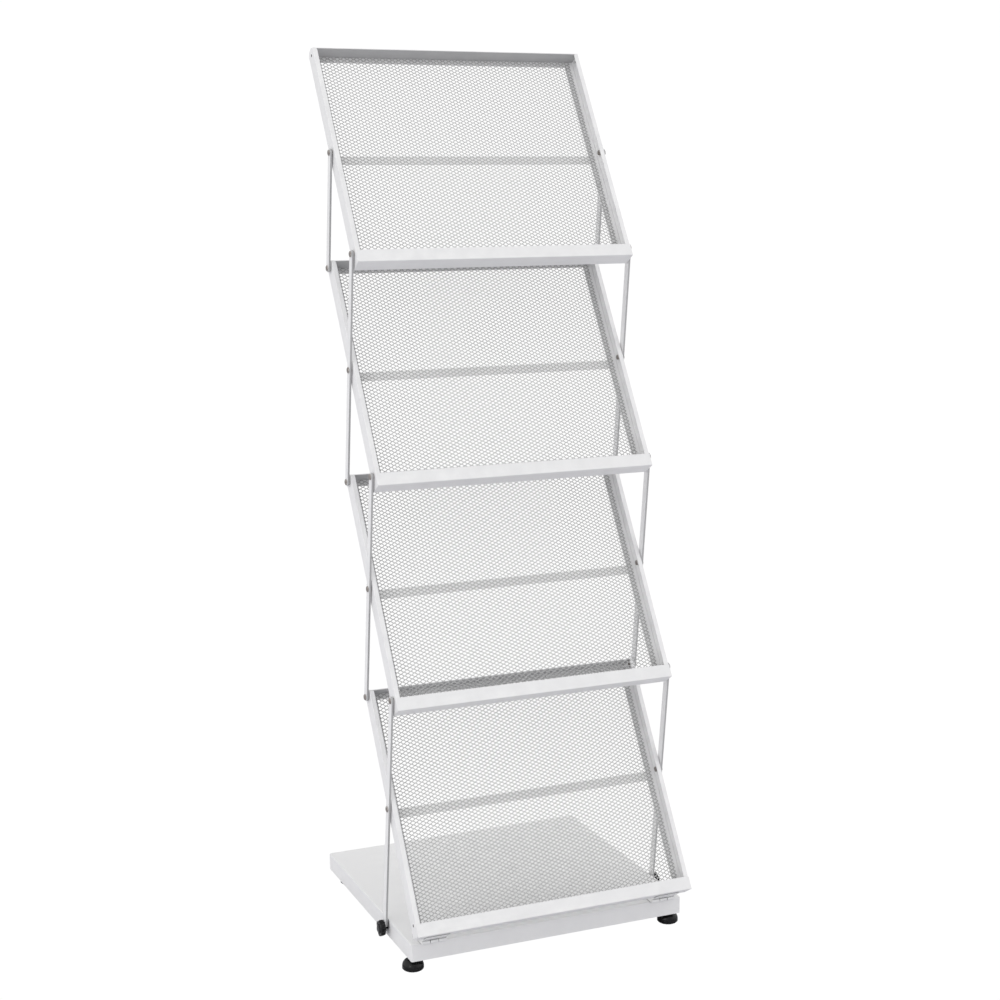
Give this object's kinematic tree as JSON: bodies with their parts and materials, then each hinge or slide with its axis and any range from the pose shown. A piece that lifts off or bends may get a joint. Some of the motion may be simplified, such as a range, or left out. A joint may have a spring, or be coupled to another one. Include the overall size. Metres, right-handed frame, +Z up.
{
  "type": "folding periodical display rack",
  "caption": "Free-standing folding rack with tilted mesh trays on crossing side links above a flat base, for showing magazines and leaflets.",
  "frame": {"origin": "floor level, midway between the rack's left and right sides and midway in its depth", "axes": "+Z up; the front of the trays faces -Y; +X is to the right of someone who faces the front"},
  "size_m": [0.4688, 0.4246, 1.3269],
  "materials": {
    "white_coat": "satin white powder coat on folded sheet steel",
    "coated_mesh": "satin white powder coat on expanded steel mesh",
    "coated_hinge": "white powder coat over pressed steel hinges",
    "rivet_steel": "dull darkened steel",
    "black_plastic": "fine-grained black moulded plastic"
  },
  "bodies": {
    "base": {"base_tray": "white_coat", "left_hinge_base_leaf": "coated_hinge", "right_hinge_base_leaf": "coated_hinge"},
    "shelf_4": {"shelf_4_front_lip": "white_coat", "shelf_4_left_middle_rivet": "rivet_steel", "shelf_4_left_rail": "white_coat", "shelf_4_left_top_rivet": "rivet_steel", "shelf_4_mesh": "coated_mesh", "shelf_4_right_middle_rivet": "rivet_steel", "shelf_4_right_rail": "white_coat", "shelf_4_right_top_rivet": "rivet_steel", "shelf_4_top_rail": "white_coat", "left_hinge_tray_leaf": "coated_hinge", "right_hinge_tray_leaf": "coated_hinge"},
    "links_4": {"link_4_left": "white_coat", "link_4_right": "white_coat"},
    "shelf_3": {"shelf_3_front_lip": "white_coat", "shelf_3_left_bottom_rivet": "rivet_steel", "shelf_3_left_middle_rivet": "rivet_steel", "shelf_3_left_rail": "white_coat", "shelf_3_left_top_rivet": "rivet_steel", "shelf_3_mesh": "coated_mesh", "shelf_3_right_bottom_rivet": "rivet_steel", "shelf_3_right_middle_rivet": "rivet_steel", "shelf_3_right_rail": "white_coat", "shelf_3_right_top_rivet": "rivet_steel", "shelf_3_top_rail": "white_coat"},
    "links_3": {"link_3_left": "white_coat", "link_3_right": "white_coat"},
    "shelf_2": {"shelf_2_front_lip": "white_coat", "shelf_2_left_bottom_rivet": "rivet_steel", "shelf_2_left_middle_rivet": "rivet_steel", "shelf_2_left_rail": "white_coat", "shelf_2_left_top_rivet": "rivet_steel", "shelf_2_mesh": "coated_mesh", "shelf_2_right_bottom_rivet": "rivet_steel", "shelf_2_right_middle_rivet": "rivet_steel", "shelf_2_right_rail": "white_coat", "shelf_2_right_top_rivet": "rivet_steel", "shelf_2_top_rail": "white_coat"},
    "links_2": {"link_2_left": "white_coat", "link_2_right": "white_coat"},
    "shelf_1": {"shelf_1_front_lip": "white_coat", "shelf_1_left_bottom_rivet": "rivet_steel", "shelf_1_left_middle_rivet": "rivet_steel", "shelf_1_left_rail": "white_coat", "shelf_1_mesh": "coated_mesh", "shelf_1_right_bottom_rivet": "rivet_steel", "shelf_1_right_middle_rivet": "rivet_steel", "shelf_1_right_rail": "white_coat", "shelf_1_top_rail": "white_coat"},
    "links_1": {"link_1_left": "white_coat", "link_1_right": "white_coat"},
    "foot_front_left_body": {"foot_front_left": "black_plastic"},
    "foot_front_right_body": {"foot_front_right": "black_plastic"},
    "foot_rear_left_body": {"foot_rear_left": "black_plastic"},
    "foot_rear_right_body": {"foot_rear_right": "black_plastic"},
    "knob_left_body": {"knob_left": "black_plastic"},
    "knob_right_body": {"knob_right": "black_plastic"}
  },
  "joints": [
    {"name": "fold", "type": "hinge", "parent": "base", "child": "shelf_4", "pos_m": [0, -0.18397, 0.0499], "axis": [-1, 0, 0], "range_deg": [0, 58]},
    {"name": "links_4_on_shelf_4", "type": "hinge", "parent": "shelf_4", "child": "links_4", "pos_m": [0, -0.10078, 0.22644], "axis": [1, 0, 0], "range_deg": [0, 129.4]},
    {"name": "shelf_3_on_links_4", "type": "hinge", "parent": "links_4", "child": "shelf_3", "pos_m": [0, -0.1231, 0.39598], "axis": [-1, 0, 0], "range_deg": [0, 129.4]},
    {"name": "links_3_on_shelf_3", "type": "hinge", "parent": "shelf_3", "child": "links_3", "pos_m": [0, -0.03248, 0.54099], "axis": [1, 0, 0], "range_deg": [0, 129.4]},
    {"name": "shelf_2_on_links_3", "type": "hinge", "parent": "links_3", "child": "shelf_2", "pos_m": [0, -0.0548, 0.71053], "axis": [-1, 0, 0], "range_deg": [0, 129.4]},
    {"name": "links_2_on_shelf_2", "type": "hinge", "parent": "shelf_2", "child": "links_2", "pos_m": [0, 0.03581, 0.85555], "axis": [1, 0, 0], "range_deg": [0, 129.4]},
    {"name": "shelf_1_on_links_2", "type": "hinge", "parent": "links_2", "child": "shelf_1", "pos_m": [0, 0.01349, 1.02508], "axis": [-1, 0, 0], "range_deg": [0, 129.4]},
    {"name": "links_1_on_shelf_1", "type": "hinge", "parent": "shelf_1", "child": "links_1", "pos_m": [0, 0.10411, 1.1701], "axis": [1, 0, 0], "range_deg": [0, 129.4]},
    {"name": "level_front_left", "type": "slide", "parent": "base", "child": "foot_front_left_body", "axis": [0, 0, -1], "range_m": [0, 0.008]},
    {"name": "level_front_right", "type": "slide", "parent": "base", "child": "foot_front_right_body", "axis": [0, 0, -1], "range_m": [0, 0.008]},
    {"name": "level_rear_left", "type": "slide", "parent": "base", "child": "foot_rear_left_body", "axis": [0, 0, -1], "range_m": [0, 0.008]},
    {"name": "level_rear_right", "type": "slide", "parent": "base", "child": "foot_rear_right_body", "axis": [0, 0, -1], "range_m": [0, 0.008]},
    {"name": "turn_knob_left", "type": "hinge", "parent": "base", "child": "knob_left_body", "pos_m": [-0.219, -0.07536, 0.0334], "axis": [1, 0, 0], "continuous": true},
    {"name": "turn_knob_right", "type": "hinge", "parent": "base", "child": "knob_right_body", "pos_m": [0.219, -0.07536, 0.0334], "axis": [1, 0, 0], "continuous": true}
  ],
  "couplings": [
    {"joint": "links_4_on_shelf_4", "follows": "fold", "ratio": 2.23},
    {"joint": "shelf_3_on_links_4", "follows": "fold", "ratio": 2.23},
    {"joint": "links_3_on_shelf_3", "follows": "fold", "ratio": 2.23},
    {"joint": "shelf_2_on_links_3", "follows": "fold", "ratio": 2.23},
    {"joint": "links_2_on_shelf_2", "follows": "fold", "ratio": 2.23},
    {"joint": "shelf_1_on_links_2", "follows": "fold", "ratio": 2.23},
    {"joint": "links_1_on_shelf_1", "follows": "fold", "ratio": 2.23}
  ]
}
